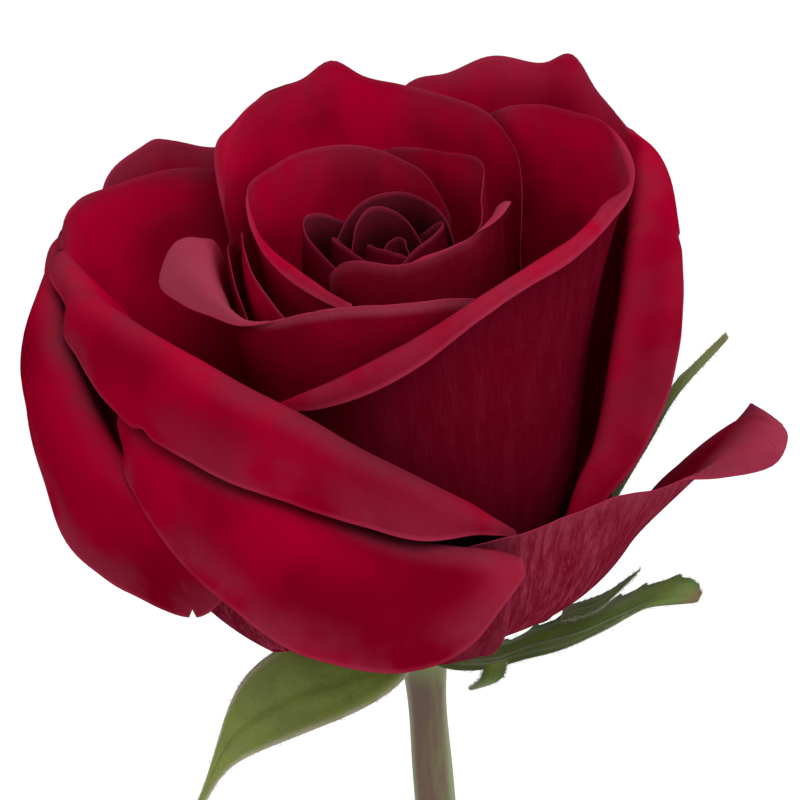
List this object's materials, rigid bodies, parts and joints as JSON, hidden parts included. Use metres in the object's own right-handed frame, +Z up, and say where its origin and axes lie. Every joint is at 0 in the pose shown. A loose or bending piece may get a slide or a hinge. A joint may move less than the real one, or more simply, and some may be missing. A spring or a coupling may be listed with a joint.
{
  "type": "rose in a bud vase",
  "caption": "Open red rose with overlapping rolled petals, reflexed sepals and a bare stem, leaning in a plain glazed bottle-shaped bud vase with a flat foot.",
  "frame": {"origin": "centre of the vase's flat foot, on the surface it stands on", "axes": "+Z up the vase's axis; the rose leans towards -X; -Y faces the viewer"},
  "size_m": [0.0964, 0.0826, 0.3041],
  "materials": {
    "petal": "velvety crimson petal, mauve sheen on the rolled rims",
    "heart_petal": "velvety deep wine-red petal",
    "sepal": "matt, finely downy green",
    "stem": "satin brown-green bark",
    "glaze": "opaque off-white glazed stoneware"
  },
  "bodies": {
    "root": {"heart_petal_1": "heart_petal", "heart_petal_2": "heart_petal", "heart_petal_3": "heart_petal", "heart_petal_4": "heart_petal", "heart_petal_5": "heart_petal", "heart_petal_6": "heart_petal", "heart_petal_7": "heart_petal", "heart_petal_8": "heart_petal", "petal_back_left": "petal", "petal_back_outer": "petal", "petal_back_tall": "petal", "petal_front_fold": "petal", "petal_front_low": "petal", "petal_front_right": "petal", "petal_inner_back": "petal", "petal_inner_front": "petal", "petal_inner_right": "petal", "petal_left_low": "petal", "petal_left_sliver": "petal", "petal_left_tuck": "petal", "petal_left_wrap": "petal", "petal_right_outer": "petal", "petal_right_wrap": "petal", "sepal_back": "sepal", "sepal_back_left": "sepal", "sepal_left": "sepal", "sepal_right": "sepal", "sepal_right_back": "sepal", "stem_and_hip": "stem", "vase": "glaze"}
  },
  "joints": []
}
